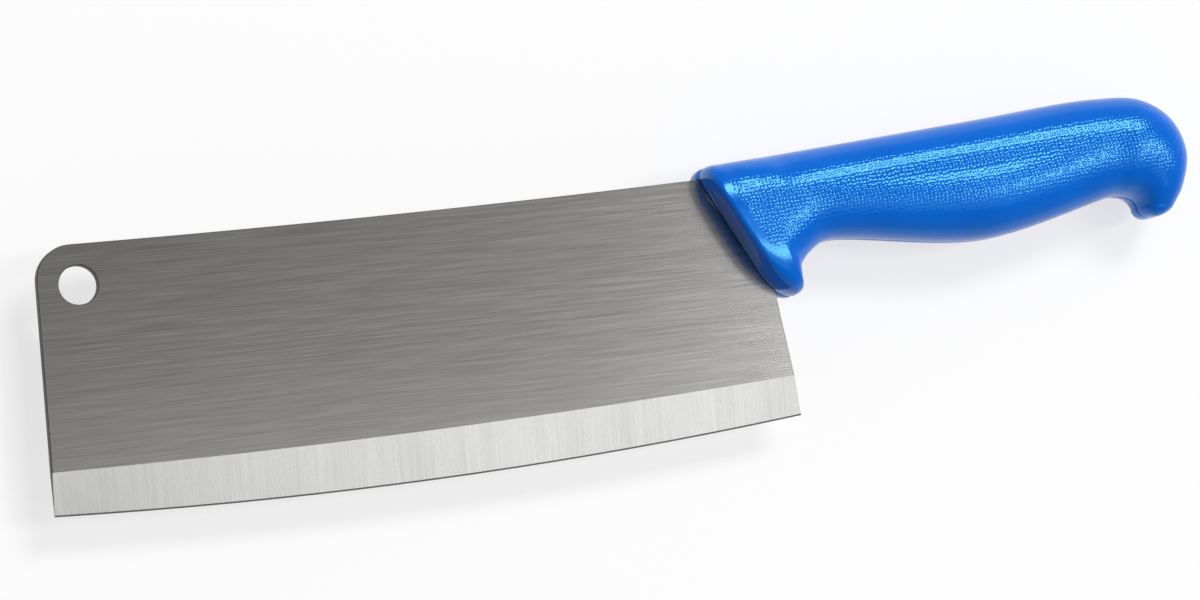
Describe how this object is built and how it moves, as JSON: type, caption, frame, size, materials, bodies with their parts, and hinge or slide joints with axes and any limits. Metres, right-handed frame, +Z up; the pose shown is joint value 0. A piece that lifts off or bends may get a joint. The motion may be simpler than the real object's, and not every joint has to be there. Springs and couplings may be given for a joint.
{
  "type": "cleaver",
  "caption": "Heavy kitchen cleaver with a broad ground steel blade, a hang hole and a hooked, moulded plastic handle with a finger guard.",
  "frame": {"origin": "under the middle of the cleaver, on the surface it lies on", "axes": "+X from the tip end of the blade to the butt of the handle, +Y from the cutting edge to the spine, +Z up, square to the blade's flat side"},
  "size_m": [0.3264, 0.0826, 0.0267],
  "materials": {
    "steel": "satin, brushed along the blade, with a brighter ground bevel",
    "blue_plastic": "moulded polypropylene with a fine pebble grain on the flanks"
  },
  "bodies": {
    "root": {"blade": "steel", "handle": "blue_plastic"}
  },
  "joints": []
}
